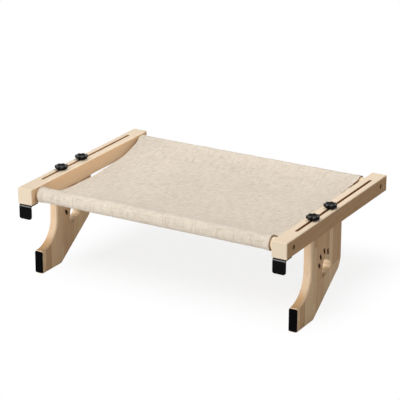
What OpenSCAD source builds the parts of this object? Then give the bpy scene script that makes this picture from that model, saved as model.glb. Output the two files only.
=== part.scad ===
// Cat hammock for a window sill: two slotted rails on curved legs, two rods and a fabric sling.
// Millimetres, +Z up. X runs across the hammock, Y from its front hooks towards its rear.
// The origin is where the sill is gripped: mid-width, on the hook pads' gripping face,
// at the level of the rails' underside.

/* [Rails] */
// Width over the outer faces of the two rails
frame_w = 550; // [420:1:700]
// Length of a rail, front to rear
rail_l = 400; // [350:1:500]
// Width of a rail
rail_w = 30; // [27:0.5:40]
// Height of a rail
rail_h = 30.5; // [26:0.5:40]
// Chamfer along every edge of a rail
rail_chamfer = 1.2; // [0.4:0.1:2.5]
// Distance from a rail's front end to its slot
slot_front = 58; // [45:1:90]
// Distance from a rail's rear end to its slot
slot_rear = 40; // [40:1:90]
// How far the slot lies outward of the rail's centre line
slot_offset = 1.8; // [0:0.1:2]
// Play between a stud and each side of the slot
slot_play = 0.3; // [0.2:0.05:0.6]

/* [Rods] */
// Diameter of a rod
rod_d = 22; // [18:0.5:24]
// Distance of a rod's axis from the nearest end of the rails
rod_inset = 26; // [20:0.5:32]
// Depth of the socket in a rail that takes a rod's end
rod_socket = 5; // [3:0.5:8]
// Play around a rod's end in its socket
rod_play = 0.15; // [0.05:0.05:0.4]

/* [Rod bolts] */
// Diameter of a rod bolt's shank
rod_bolt_d = 5; // [4:0.5:6]
// Length of a rod bolt's shank
rod_bolt_l = 32; // [28:1:40]
// Diameter of a rod bolt's head
bolt_head_d = 8.5; // [7.5:0.1:10]
// Height of a rod bolt's head
bolt_head_h = 5; // [4:0.5:6]
// Width across the flats of the bolt head's hexagon socket
bolt_key = 4; // [3:0.5:5]
// Depth of the counterbore that hides a bolt head
counterbore = 11; // [8:0.5:13]
// Play around a bolt head in its counterbore
head_play = 0.9; // [0.2:0.05:1.2]
// Diameter of the threaded insert in a rod's end
insert_d = 8; // [7:0.5:10]
// Length of the threaded insert
insert_l = 16; // [10:1:20]

/* [Fabric sling] */
// Thickness of the doubled fabric
fabric_t = 1.6; // [1.2:0.1:2.4]
// How far the sling's level middle hangs below the crown of its sleeves
sling_sag = 24; // [15:1:40]
// Radius of the sling's rise from its level middle to each sleeve
sling_rise_r = 180; // [100:5:260]
// How far each side edge draws in at mid-length
sling_draw = 4; // [2:0.5:15]
// Gap between a sleeve's end and the rail, with the sling mid-way
sleeve_gap = 7.5; // [5:0.5:12]
// How far the sling has been pushed along its rods to the left
sling_shift = 3.5; // [0:0.5:4]
// Play between a rod and its sleeve
sleeve_play = 0.4; // [0.3:0.05:0.8]
// How far the panel lies below the crown of its sleeves, at the seam
seam_step = 0.3; // [0.2:0.05:0.5]

/* [Legs] */
// Clear sill depth that the legs are set to, from the hook pads to the legs
sill_set = 92.5; // [60:0.5:180]
// Thickness of a leg
leg_t = 16.5; // [15:0.5:22]
// Height of a leg, from the rail's underside to its sole
leg_h = 152.5; // [135:0.5:190]
// Length of a leg's top, along the rail
leg_top_l = 118.5; // [100:0.5:150]
// Radius of the hollow in a leg's front edge
hollow_r = 49.5; // [35:0.5:60]
// Height of the foot's front face
foot_h = 45.5; // [36:0.5:55]
// Length of the sole
foot_l = 61.5; // [45:0.5:75]
// Height of a leg's upright rear edge
leg_back_h = 81; // [60:1:100]
// Radius where the rear edge turns to the sloping edge
leg_bend_r = 34; // [15:1:44]
// Chamfer along the edges of a leg
leg_chamfer = 2; // [0.5:0.1:3]
// Distance from a leg's inner face to the axes of its studs
stud_edge = 4.8; // [4:0.1:7]

/* [Paw cut-out] */
// Distance of the paw's large pad from the leg's front edge
paw_back = 57; // [45:1:70]
// Distance of the paw's large pad below the rail
paw_drop = 65.5; // [60:0.5:80]
// Lean of the paw towards the front, in degrees
paw_lean = 26; // [0:1:45]
// Radius of the large pad's crown
pad_crown_r = 10.5; // [7:0.5:12]
// Height of the crown's centre over the pad's middle
pad_crown_rise = 6; // [3:0.5:8]
// Radius of the large pad's two lobes
pad_lobe_r = 9; // [6:0.5:10]
// Drop of the lobes' centres under the pad's middle
pad_lobe_drop = 6.5; // [4:0.5:9]
// Distance of each lobe's centre from the paw's axis
pad_lobe_spread = 9.5; // [7:0.5:11]
// Width of a toe
toe_w = 7; // [5:0.5:9]
// Length of a toe
toe_l = 13.5; // [10:0.5:15]
// Distance of the two middle toes from the pad's middle
mid_toe_reach = 32; // [28:0.5:38]
// Angle of the two middle toes from the paw's axis, in degrees
mid_toe_angle = 14; // [10:0.5:18]
// Distance of the two outer toes from the pad's middle
side_toe_reach = 27; // [25:0.5:33]
// Angle of the two outer toes from the paw's axis, in degrees
side_toe_angle = 43; // [38:0.5:50]
// Share of its angle from the paw's axis that a toe itself is turned by
toe_turn = 0.3; // [0:0.05:1]

/* [Foot pads] */
// Thickness of a foot pad
foot_pad_t = 2.5; // [1.5:0.5:5]
// Bare rim of wood above and below a foot pad
foot_pad_rim = 2; // [1:0.1:4]
// Bare rim of wood at each side of a foot pad
foot_pad_side = 0.5; // [0.2:0.1:3]
// Corner radius of a foot pad
foot_pad_r = 1.5; // [0.5:0.1:3]

/* [Hooks] */
// Width of a hook
hook_w = 25; // [20:0.5:28]
// Thickness of a hook's plate
hook_t = 3; // [2:0.5:4]
// Drop of a hook below the rail
hook_h = 28; // [20:1:45]
// Length of a hook's flange along the rail
hook_flange = 24; // [20:1:32]
// Inside radius of the hook's bend
hook_bend_r = 2; // [1:0.5:4]
// Radius of a hook's lower corners
hook_corner_r = 4; // [1:0.5:8]
// Thickness of the pad on a hook's gripping side
hook_pad_t = 2; // [1:0.5:4]
// Bare rim of the hook around its pad
hook_pad_rim = 1; // [0.5:0.1:3]
// Diameter of a hook screw's shank
hook_screw_d = 3.5; // [3:0.1:4.5]
// Diameter of a hook screw's countersunk head
hook_screw_head_d = 7; // [6:0.1:8.5]
// Length of a hook screw
hook_screw_l = 16; // [10:1:20]
// Distance between a hook's two screws
hook_screw_pitch = 12; // [10:0.5:14]
// Distance of the hook screws from the rail's front end
hook_screw_inset = 14; // [12:0.5:16]

/* [Knobs] */
// Diameter over a knob's lobes
knob_d = 25; // [22:0.5:32]
// Number of lobes
knob_lobes = 7; // [5:1:8]
// Diameter of one lobe
lobe_d = 7; // [5:0.5:8]
// Diameter of the knob's core
knob_core_d = 18.5; // [17:0.5:22]
// Height of the knob's lobed head
knob_head_h = 6; // [5.5:0.5:9]
// Chamfer around the lobed head
knob_chamfer = 1.2; // [0.5:0.1:2]
// Diameter of the dish in the knob's top
knob_dish_d = 15; // [10:0.5:16]
// Depth of the dish in the knob's top
knob_dish_h = 1.2; // [0.5:0.1:2]
// Diameter of the hub under the lobes
hub_d = 11.5; // [10:0.5:15]
// Height of the hub under the lobes
hub_h = 1.5; // [1:0.5:4]
// Diameter of a stud
stud_d = 5; // [4:0.5:6]
// Distance between the two studs of a leg
stud_pitch = 68; // [55:1:80]
// Width across the flats of the stud's head, held in the knob
stud_head_w = 8; // [7:0.5:10]
// Height of the stud's head
stud_head_h = 3.5; // [2.5:0.5:4]
// How far a stud reaches past its nut
stud_end = 2; // [1:0.5:5]
// Diameter of a washer
washer_d = 13; // [12:0.5:18]
// Thickness of a washer
washer_t = 1; // [0.8:0.1:2]
// Diameter of a barrel nut
nut_d = 10; // [8:0.5:12]
// Length of a barrel nut
nut_l = 13; // [10:0.5:14]
// Depth of a barrel nut's axis below the leg's top
nut_drop = 16; // [12:0.5:22]

/* [Hidden] */
$fn = 48;
hex = 6;

// Overrun of every cut past the surface that it opens
overrun = 1;
// Play between a thread's crest and its mating bore, per side
thread_play = 0.05;
// Play around a shank in a plain hole, per side
shank_play = 0.15;
// Play around a piece that is pressed or screwed into wood, per side
seat_play = 0.05;
// Room past the end of a blind hole's fastener
end_room = 3;
// Width and depth of a driver slot
driver_slot = 1.4;
// Step where a round edge would otherwise only touch a straight one
tangent_step = 0.1;

wood = "burlywood";
black = "#202020";
steel = "silver";
brass = "darkgoldenrod";
canvas = "#e2d6c6";

// Places across the hammock, for its right side
rail_x = frame_w / 2 - rail_w;
rail_mid_x = rail_x + rail_w / 2;
stud_x = rail_mid_x + slot_offset;
leg_x = stud_x - stud_edge;

// Places along the rails
rail_y = -hook_t - hook_pad_t;
mid_y = rail_y + rail_l / 2;
front_rod_y = rail_y + rod_inset;
rear_rod_y = rail_y + rail_l - rod_inset;
rod_z = rail_h / 2;
rod_l = 2 * (rail_x + rod_socket);
slot_w = stud_d + 2 * slot_play;

// Places along a leg
foot_y = sill_set - hollow_r;
heel_y = foot_y + foot_l;
back_y = sill_set + leg_top_l;
sole_z = -leg_h;
foot_top_z = sole_z + foot_h;
hollow_z = foot_top_z + hollow_r;
leg_mid_y = sill_set + leg_top_l / 2;
front_stud_y = leg_mid_y - stud_pitch / 2;
rear_stud_y = leg_mid_y + stud_pitch / 2;

// Middle of the round turn between a leg's rear edge and its sloping edge
bend_corner = [back_y, -leg_back_h];
slope_angle = atan2(-leg_back_h - sole_z, back_y - heel_y);
bend_turn = 90 - slope_angle;
bend_reach = leg_bend_r * tan(bend_turn / 2);
bend_mid = bend_corner + [-leg_bend_r, bend_reach];

// Knob and stud heights
knob_z = rail_h + washer_t;
stud_tip_z = -nut_drop - nut_d / 2 - stud_end;
stud_head_z = knob_z + hub_h;

// The sling's sleeves, the level middle of its panel and the rises that meet the sleeves
sleeve_x = rail_x - sleeve_gap;
sleeve_bore_r = rod_d / 2 + sleeve_play;
sleeve_r = sleeve_bore_r + fabric_t;
panel_half = rail_l / 2 - rod_inset;
panel_roll_r = sleeve_r - fabric_t / 2 - seam_step;
panel_z = rod_z + panel_roll_r - sling_sag;
rise_span = sling_rise_r + panel_roll_r;
rise_reach = sqrt(pow(rise_span, 2) - pow(rise_span - sling_sag, 2));
level_half = panel_half - rise_reach;
rise_end = rise_reach * sling_rise_r / rise_span;
edge_half = panel_half - sleeve_r;
edge_r = (pow(edge_half, 2) + pow(sling_draw, 2)) / (2 * sling_draw);

// Mirrors a right-hand piece to the left side
module left_side() {
    mirror([1, 0, 0]) children();
}

// Turns a shape drawn in Y and Z so that its height runs along X
module along_x() {
    rotate([90, 0, 90]) children();
}

function chamfered_outline(w, h, c) = [
    [c, 0], [w - c, 0], [w, c], [w, h - c], [w - c, h], [c, h], [0, h - c], [0, c]
];

// Block with all twelve edges chamfered
module chamfered_block(size, c) {
    intersection() {
        linear_extrude(size.z) polygon(chamfered_outline(size.x, size.y, c));
        translate([0, size.y, 0])
            rotate([90, 0, 0]) linear_extrude(size.y) polygon(chamfered_outline(size.x, size.z, c));
        along_x() linear_extrude(size.x) polygon(chamfered_outline(size.y, size.z, c));
    }
}

// Plate with four round corners, lying in X and Y with one corner at the origin
module rounded_plate(w, l, t, r) {
    translate([r, 0, 0]) cube([w - 2 * r, l, t]);
    translate([0, r, 0]) cube([w, l - 2 * r, t]);
    for (x = [r, w - r], y = [r, l - r]) translate([x, y, 0]) cylinder(r = r, h = t);
}

// Long hole with round ends, through a rail
module slot_cut() {
    slot_l = rail_l - slot_front - slot_rear;
    slot_run = slot_l - slot_w;
    slot_h = rail_h + 2 * overrun;
    translate([stud_x, rail_y + slot_front + slot_w / 2, -overrun]) {
        translate([-slot_w / 2, 0, 0]) cube([slot_w, slot_run, slot_h]);
        for (y = [0, slot_run]) translate([0, y, 0]) cylinder(d = slot_w, h = slot_h);
    }
}

// Socket, bolt hole and counterbore for one rod's end
module rod_seat_cut(y) {
    translate([0, y, rod_z]) rotate([0, 90, 0]) {
        translate([0, 0, rail_x - overrun]) cylinder(d = rod_d + 2 * rod_play, h = rod_socket + overrun);
        translate([0, 0, rail_x]) cylinder(d = rod_bolt_d + 2 * shank_play, h = rail_w);
        translate([0, 0, rail_x + rail_w - counterbore])
            cylinder(d = bolt_head_d + 2 * head_play, h = counterbore + overrun);
    }
}

module at_hook_screws() {
    for (side = [-1, 1])
        translate([rail_mid_x + side * hook_screw_pitch / 2, rail_y + hook_screw_inset, -hook_t]) children();
}

module rail() {
    color(wood) difference() {
        translate([rail_x, rail_y, 0]) chamfered_block([rail_w, rail_l, rail_h], rail_chamfer);
        slot_cut();
        for (y = [front_rod_y, rear_rod_y]) rod_seat_cut(y);
        at_hook_screws() cylinder(d = hook_screw_d + 2 * seat_play, h = hook_screw_l + end_room);
    }
}

module rod(y) {
    bolt_reach = rod_bolt_l - (rail_w - counterbore - rod_socket);
    insert_hole_l = max(insert_l, bolt_reach) + end_room;
    color(wood) translate([-rod_l / 2, y, rod_z]) rotate([0, 90, 0]) difference() {
        cylinder(d = rod_d, h = rod_l);
        for (z = [-overrun, rod_l - insert_hole_l])
            translate([0, 0, z]) cylinder(d = insert_d + 2 * seat_play, h = insert_hole_l + overrun);
    }
}

module rod_inserts(y) {
    color(brass) translate([-rod_l / 2, y, rod_z]) rotate([0, 90, 0])
        for (z = [0, rod_l - insert_l]) translate([0, 0, z]) difference() {
            cylinder(d = insert_d, h = insert_l);
            translate([0, 0, -overrun])
                cylinder(d = rod_bolt_d + 2 * thread_play, h = insert_l + 2 * overrun);
        }
}

module rod_bolts() {
    head_x = rail_x + rail_w - counterbore;
    key_d = bolt_key / cos(180 / hex);
    color(steel) for (y = [front_rod_y, rear_rod_y])
        translate([head_x, y, rod_z]) rotate([0, 90, 0]) difference() {
            union() {
                translate([0, 0, -rod_bolt_l]) cylinder(d = rod_bolt_d, h = rod_bolt_l + overrun);
                cylinder(d = bolt_head_d, h = bolt_head_h);
            }
            translate([0, 0, bolt_head_h / 2]) cylinder(d = key_d, h = bolt_head_h, $fn = hex);
        }
}

// Half of the panel's profile in Y and Z, from mid-length to where it meets the rear sleeve
module half_panel_profile() {
    translate([0, -fabric_t / 2]) square([level_half, fabric_t]);
    translate([level_half, 0]) intersection() {
        translate([0, sling_rise_r]) difference() {
            circle(r = sling_rise_r + fabric_t / 2);
            circle(r = sling_rise_r - fabric_t / 2);
        }
        translate([0, -fabric_t / 2]) square([rise_end, sling_sag + fabric_t]);
    }
}

// The sling's panel between its sleeves, before its sides are cut hollow
module sling_panel() {
    translate([-sleeve_x, mid_y, panel_z]) along_x() linear_extrude(2 * sleeve_x) {
        half_panel_profile();
        mirror([1, 0]) half_panel_profile();
    }
}

module fabric_sling() {
    color(canvas) translate([-sling_shift, 0, 0]) difference() {
        union() {
            sling_panel();
            for (y = [front_rod_y, rear_rod_y])
                translate([-sleeve_x, y, rod_z]) rotate([0, 90, 0]) cylinder(r = sleeve_r, h = 2 * sleeve_x);
        }
        for (y = [front_rod_y, rear_rod_y])
            translate([-sleeve_x - overrun, y, rod_z])
                rotate([0, 90, 0]) cylinder(r = sleeve_bore_r, h = 2 * (sleeve_x + overrun));
        for (side = [-1, 1])
            translate([side * (sleeve_x - sling_draw + edge_r), mid_y, rod_z - sling_sag])
                cylinder(r = edge_r, h = 2 * sling_sag);
    }
}

// Bent strip of a hook, drawn in Y and Z with its front top corner at the origin
module hook_profile() {
    bend_out_r = hook_bend_r + hook_t;
    translate([0, -hook_h]) square([hook_t, hook_h - bend_out_r]);
    translate([bend_out_r, -hook_t]) square([hook_flange - bend_out_r, hook_t]);
    translate([bend_out_r, -bend_out_r]) intersection() {
        difference() {
            circle(r = bend_out_r);
            circle(r = hook_bend_r);
        }
        translate([-bend_out_r, 0]) square(bend_out_r);
    }
}

module hook_screw_body(play) {
    sink_h = (hook_screw_head_d - hook_screw_d) / 2;
    cylinder(d1 = hook_screw_head_d + 2 * play, d2 = hook_screw_d + 2 * play, h = sink_h);
    cylinder(d = hook_screw_d + 2 * play, h = hook_screw_l);
}

// Round-cornered blank of a hook's hanging plate, seen from the front
module hook_blank() {
    plate_h = 2 * hook_h;
    translate([rail_mid_x - hook_w / 2, rail_y + hook_flange + overrun, -hook_h])
        rotate([90, 0, 0]) rounded_plate(hook_w, plate_h, hook_flange + 2 * overrun, hook_corner_r);
}

module hook() {
    color(black) difference() {
        intersection() {
            translate([rail_mid_x - hook_w / 2, rail_y, 0]) along_x() linear_extrude(hook_w) hook_profile();
            hook_blank();
        }
        at_hook_screws() hook_screw_body(seat_play);
        at_hook_screws() translate([0, 0, -overrun]) cylinder(d = hook_screw_head_d, h = overrun);
    }
}

module hook_pad() {
    pad_top = hook_t + hook_bend_r + hook_pad_rim;
    pad_w = hook_w - 2 * hook_pad_rim;
    pad_l = hook_h - pad_top - hook_pad_rim;
    pad_r = min(hook_corner_r, pad_l / 2 - hook_pad_rim);
    color(black) translate([rail_mid_x - pad_w / 2, 0, hook_pad_rim - hook_h])
        rotate([90, 0, 0]) rounded_plate(pad_w, pad_l, hook_pad_t, pad_r);
}

module hook_screws() {
    color(steel) at_hook_screws() difference() {
        hook_screw_body(0);
        for (turn = [0, 90]) rotate(turn)
            translate([-hook_screw_d / 2, -driver_slot / 2, -overrun])
                cube([hook_screw_d, driver_slot, driver_slot + overrun]);
    }
}

// Waste outside the round turn of a leg's rear edge, about the turn's middle
module bend_waste() {
    reach = 2 * leg_bend_r;
    difference() {
        polygon([[0, 0], reach * [sin(slope_angle), -cos(slope_angle)], [reach, 0]]);
        circle(r = leg_bend_r + tangent_step);
    }
}

// Outline of a leg in Y and Z, with the hollow front edge and the round turn of the rear edge
module leg_outline() {
    difference() {
        polygon([
            [sill_set, 0], [sill_set, hollow_z], [foot_y, hollow_z], [foot_y, sole_z],
            [heel_y, sole_z], bend_corner, [back_y, 0]
        ]);
        translate([foot_y, hollow_z]) circle(r = hollow_r);
        translate(bend_mid) bend_waste();
    }
}

// Cuts a chamfer along a straight edge from a to b, with the leg on the left of the way
module straight_edge_cut(a, b) {
    way = b - a;
    c = leg_chamfer;
    translate(a) rotate(atan2(way.y, way.x)) along_x()
        linear_extrude(norm(way)) polygon([[-overrun, -overrun], [c + overrun, -overrun], [-overrun, c + overrun]]);
}

// Cuts a chamfer along all visible edges of a leg's lower face
module leg_edge_cuts() {
    c = leg_chamfer;
    bend_r = leg_bend_r + tangent_step;
    bend_c = c + tangent_step / 2;
    straight_edge_cut([sill_set, overrun], [sill_set, hollow_z]);
    straight_edge_cut([foot_y, sole_z], [heel_y + overrun, sole_z]);
    straight_edge_cut([heel_y, sole_z] - overrun * [cos(slope_angle), sin(slope_angle)], bend_corner);
    straight_edge_cut(bend_corner, [back_y, overrun]);
    translate([foot_y, hollow_z]) rotate(-90) rotate_extrude(angle = 90) polygon([
        [hollow_r - overrun, -overrun], [hollow_r + c + overrun, -overrun], [hollow_r - overrun, c + overrun]
    ]);
    translate(bend_mid) rotate(slope_angle - 90) rotate_extrude(angle = bend_turn) polygon([
        [bend_r - bend_c - overrun, -overrun], [bend_r + overrun, -overrun], [bend_r + overrun, bend_c + overrun]
    ]);
}

// Flat band that bridges two circles, drawn in a little from their common tangents
module lobe_bridge(a, ra, b, rb) {
    way = b - a;
    heading = atan2(way.y, way.x);
    flare = acos((ra - rb) / norm(way));
    near_r = ra - tangent_step;
    far_r = rb - tangent_step;
    polygon([
        for (side = [1, -1]) a + near_r * [cos(heading + side * flare), sin(heading + side * flare)],
        for (side = [-1, 1]) b + far_r * [cos(heading + side * flare), sin(heading + side * flare)]
    ]);
}

module paw_pad() {
    crown = [0, pad_crown_rise];
    lobes = [for (side = [-1, 1]) [side * pad_lobe_spread, -pad_lobe_drop]];
    translate(crown) circle(r = pad_crown_r);
    for (lobe = lobes) {
        translate(lobe) circle(r = pad_lobe_r);
        lobe_bridge(crown, pad_crown_r, lobe, pad_lobe_r);
    }
}

module paw_toe(reach, angle) {
    toe_run = toe_l - toe_w;
    translate(reach * [-sin(angle), cos(angle)]) rotate(angle * toe_turn) {
        translate([-toe_w / 2, -toe_run / 2]) square([toe_w, toe_run]);
        for (y = [-1, 1]) translate([0, y * toe_run / 2]) circle(d = toe_w);
    }
}

module paw_outline() {
    translate([sill_set + paw_back, -paw_drop]) rotate(paw_lean) {
        paw_pad();
        for (side = [-1, 1]) {
            paw_toe(mid_toe_reach, side * mid_toe_angle);
            paw_toe(side_toe_reach, side * side_toe_angle);
        }
    }
}

// Leg blank, flat: Y and Z lie in the plane and the leg's thickness is its height
module leg_blank() {
    difference() {
        linear_extrude(leg_t) leg_outline();
        leg_edge_cuts();
        translate([0, 0, leg_t]) mirror([0, 0, 1]) leg_edge_cuts();
        translate([0, 0, -overrun]) linear_extrude(leg_t + 2 * overrun) paw_outline();
    }
}

module leg() {
    bolt_hole_l = end_room - stud_tip_z;
    nut_hole_l = nut_l + 2 * seat_play;
    color(wood) difference() {
        translate([leg_x, 0, 0]) along_x() leg_blank();
        for (y = [front_stud_y, rear_stud_y]) {
            translate([stud_x, y, -bolt_hole_l])
                cylinder(d = stud_d + 2 * shank_play, h = bolt_hole_l + overrun);
            translate([leg_x - overrun, y, -nut_drop])
                rotate([0, 90, 0]) cylinder(d = nut_d + 2 * seat_play, h = nut_hole_l + overrun);
        }
    }
}

module leg_nuts() {
    color(steel) for (y = [front_stud_y, rear_stud_y]) difference() {
        translate([leg_x, y, -nut_drop]) rotate([0, 90, 0]) cylinder(d = nut_d, h = nut_l);
        translate([stud_x, y, -nut_drop - nut_d]) cylinder(d = stud_d + 2 * thread_play, h = 2 * nut_d);
        translate([leg_x - overrun, y - nut_d, -nut_drop - driver_slot / 2])
            cube([driver_slot + overrun, 2 * nut_d, driver_slot]);
    }
}

module foot_pad() {
    pad_w = leg_t - 2 * foot_pad_side;
    pad_h = foot_h - 2 * foot_pad_rim;
    color(black) translate([leg_x + foot_pad_side, foot_y, sole_z + foot_pad_rim])
        rotate([90, 0, 0]) rounded_plate(pad_w, pad_h, foot_pad_t, foot_pad_r);
}

module washer(y) {
    color(steel) translate([stud_x, y, rail_h]) difference() {
        cylinder(d = washer_d, h = washer_t);
        translate([0, 0, -overrun])
            cylinder(d = stud_d + 2 * shank_play, h = washer_t + 2 * overrun);
    }
}

// Stud with its hexagon head, grown by a play on every side
module stud_body(play) {
    head_d = (stud_head_w + 2 * play) / cos(180 / hex);
    translate([0, 0, stud_tip_z]) cylinder(d = stud_d + 2 * play, h = stud_head_z - stud_tip_z + stud_head_h / 2);
    translate([0, 0, stud_head_z - play]) cylinder(d = head_d, h = stud_head_h + 2 * play, $fn = hex);
}

module stud(y) {
    color(steel) translate([stud_x, y, 0]) stud_body(0);
}

// Star head of a knob, standing on the origin
module knob_head() {
    lobe_reach = (knob_d - lobe_d) / 2;
    rim_r = knob_d / 2;
    c = knob_chamfer;
    intersection() {
        union() {
            cylinder(d = knob_core_d, h = knob_head_h);
            for (i = [0 : knob_lobes - 1])
                rotate(i * 360 / knob_lobes) translate([lobe_reach, 0, 0]) cylinder(d = lobe_d, h = knob_head_h);
        }
        rotate_extrude() polygon([
            [0, 0], [rim_r - c, 0], [rim_r, c], [rim_r, knob_head_h - c], [rim_r - c, knob_head_h], [0, knob_head_h]
        ]);
    }
}

module knob(y) {
    dish_r = knob_dish_d / 2;
    color(black) translate([stud_x, y, 0]) difference() {
        translate([0, 0, knob_z]) {
            cylinder(d = hub_d, h = hub_h);
            translate([0, 0, hub_h]) knob_head();
        }
        translate([0, 0, knob_z + hub_h + knob_head_h - knob_dish_h])
            cylinder(r1 = dish_r - knob_dish_h, r2 = dish_r + overrun, h = knob_dish_h + overrun);
        stud_body(seat_play);
    }
}

left_side() rail();  // left_rail
rail();  // right_rail
rod(front_rod_y);  // front_rod
rod(rear_rod_y);  // rear_rod
rod_inserts(front_rod_y);  // front_rod_inserts
rod_inserts(rear_rod_y);  // rear_rod_inserts
left_side() rod_bolts();  // left_rod_bolts
rod_bolts();  // right_rod_bolts
fabric_sling();
left_side() hook();  // left_hook
hook();  // right_hook
left_side() hook_pad();  // left_hook_pad
hook_pad();  // right_hook_pad
left_side() hook_screws();  // left_hook_screws
hook_screws();  // right_hook_screws
left_side() leg();  // left_leg
leg();  // right_leg
left_side() foot_pad();  // left_foot_pad
foot_pad();  // right_foot_pad
left_side() leg_nuts();  // left_leg_nuts
leg_nuts();  // right_leg_nuts
left_side() washer(front_stud_y);  // left_front_washer
left_side() washer(rear_stud_y);  // left_rear_washer
washer(front_stud_y);  // right_front_washer
washer(rear_stud_y);  // right_rear_washer
left_side() knob(front_stud_y);  // left_front_knob
left_side() knob(rear_stud_y);  // left_rear_knob
knob(front_stud_y);  // right_front_knob
knob(rear_stud_y);  // right_rear_knob
left_side() stud(front_stud_y);  // left_front_stud
left_side() stud(rear_stud_y);  // left_rear_stud
stud(front_stud_y);  // right_front_stud
stud(rear_stud_y);  // right_rear_stud
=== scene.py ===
"""Finishes, cloth and studio for a window-sill cat hammock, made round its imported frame."""

import math

import bpy
from bpy.props import FloatProperty, FloatVectorProperty, IntProperty, PointerProperty
from bpy.types import Operator, Panel, PropertyGroup
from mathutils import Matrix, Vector, noise


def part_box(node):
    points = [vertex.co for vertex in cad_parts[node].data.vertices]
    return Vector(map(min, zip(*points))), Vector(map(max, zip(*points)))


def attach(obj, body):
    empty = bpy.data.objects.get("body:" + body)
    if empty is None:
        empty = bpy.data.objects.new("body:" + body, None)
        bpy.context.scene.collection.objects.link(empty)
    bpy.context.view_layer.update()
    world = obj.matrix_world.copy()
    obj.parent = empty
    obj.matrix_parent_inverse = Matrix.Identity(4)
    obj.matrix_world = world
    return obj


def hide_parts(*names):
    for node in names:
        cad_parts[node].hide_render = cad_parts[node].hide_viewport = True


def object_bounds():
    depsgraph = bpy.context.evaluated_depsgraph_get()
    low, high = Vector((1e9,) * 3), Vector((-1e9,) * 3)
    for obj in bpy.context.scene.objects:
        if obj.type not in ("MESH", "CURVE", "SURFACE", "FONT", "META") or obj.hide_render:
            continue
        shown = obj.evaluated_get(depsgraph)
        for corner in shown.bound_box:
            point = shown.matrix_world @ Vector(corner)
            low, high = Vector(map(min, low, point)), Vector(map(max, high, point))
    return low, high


bl_info = {
    "name": "Window-Sill Cat Hammock",
    "version": (1, 0, 0),
    "blender": (4, 5, 0),
    "location": "3D View > Sidebar > Cat Hammock",
    "description": "Dresses the hammock's frame in wood, cloth, rubber and metal, and sets up its studio",
    "category": "Object",
}

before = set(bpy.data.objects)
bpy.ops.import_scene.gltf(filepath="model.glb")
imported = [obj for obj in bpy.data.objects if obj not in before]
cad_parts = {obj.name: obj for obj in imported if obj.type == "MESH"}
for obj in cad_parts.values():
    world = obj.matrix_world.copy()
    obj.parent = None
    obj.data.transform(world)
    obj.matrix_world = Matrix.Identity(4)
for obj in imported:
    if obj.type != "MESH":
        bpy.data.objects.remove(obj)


def plain_box():
    """The shown object's lowest and highest corner as plain lists."""
    return [list(corner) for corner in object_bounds()]


CAD_BOX = plain_box()
X, Y, Z = range(3)
SIDES = ("left", "right")
STEMS = [side + "_" + end for side in SIDES for end in ("front", "rear")]


def middle(node):
    """Middle of a node's box."""
    low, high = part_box(node)
    return (low + high) / 2


def span(node):
    """Size of a node's box."""
    low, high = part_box(node)
    return high - low


# Sizes and colours

def metres(name, description, default):
    """A length that a user can change."""
    return FloatProperty(name=name, description=description, default=default, unit="LENGTH")


def watts(name, description, default):
    """A lamp's power that a user can change."""
    return FloatProperty(name=name, description=description, default=default, unit="POWER")


def colour(name, description, default):
    """A colour that a user can change."""
    return FloatVectorProperty(
        name=name, description=description, default=default, subtype="COLOR", min=0, max=1,
    )


class HammockSizes(PropertyGroup):
    """Sizes of the soft and moulded pieces."""

    cloth_t: metres("Cloth Thickness", "Thickness of the doubled cloth", 0.0016)
    sleeve_slack: metres("Sleeve Slack", "Gap between a rod and the inside of its sleeve", 0.0007)
    level_z: metres("Dish Level", "Height of the sling's level middle over the rails' underside", 0.00315)
    rise_r: metres("Rise Radius", "Radius of the sling's rise to each sleeve", 0.180)
    side_draw: metres("Side Draw", "How far each side edge draws in at mid-length", 0.0088)
    side_lift: metres("Side Lift", "How far the side hems rise towards the rear sleeve", 0.007875)
    seam_reach: metres("Seam Reach", "Distance from a sleeve to its seam, along the cloth", 0.025)
    hem_w: metres("Hem Width", "Width of the turned side hem", 0.012)
    hem_t: metres("Hem Thickness", "How much thicker the cloth is along its side hems", 0.0005)
    stitch_inset: metres("Stitch Inset", "Distance of a hem's stitches from the side edge", 0.010)
    stitch_pitch: metres("Stitch Pitch", "Distance from one stitch to the next", 0.0034)
    thread_d: metres("Thread Diameter", "Diameter of the sewing thread", 0.0006)
    weave_pitch: metres("Weave Pitch", "Distance between two threads of the weave", 0.0009)
    stave_w: metres("Stave Width", "Width of the glued staves of a leg", 0.021)
    paw_y: metres("Paw Place", "Place of the paw's pad along Y", 0.1495)
    paw_z: metres("Paw Height", "Height of the paw's pad", -0.0655)
    toes_r: metres("Toe Reach", "Radius round the pad's middle outside which the toes lie", 0.0206)
    paw_r: metres("Paw Reach", "Radius round the pad's middle that holds the whole paw", 0.040)
    knob_lobes: IntProperty(
        name="Knob Lobes", description="Number of lobes of a star knob", default=7, min=5, max=8,
    )
    knob_r: metres("Knob Radius", "Radius over a knob's lobes", 0.0125)
    edge_r: metres("Edge Rounding", "Rounding of plastic, rubber and coated edges", 0.0005)
    fine_edge_r: metres("Fine Edge Rounding", "Rounding of plated and turned edges", 0.0003)
    stud_pitch: metres("Stud Pitch", "Rise of a stud's thread in one turn", 0.0008)


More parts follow.
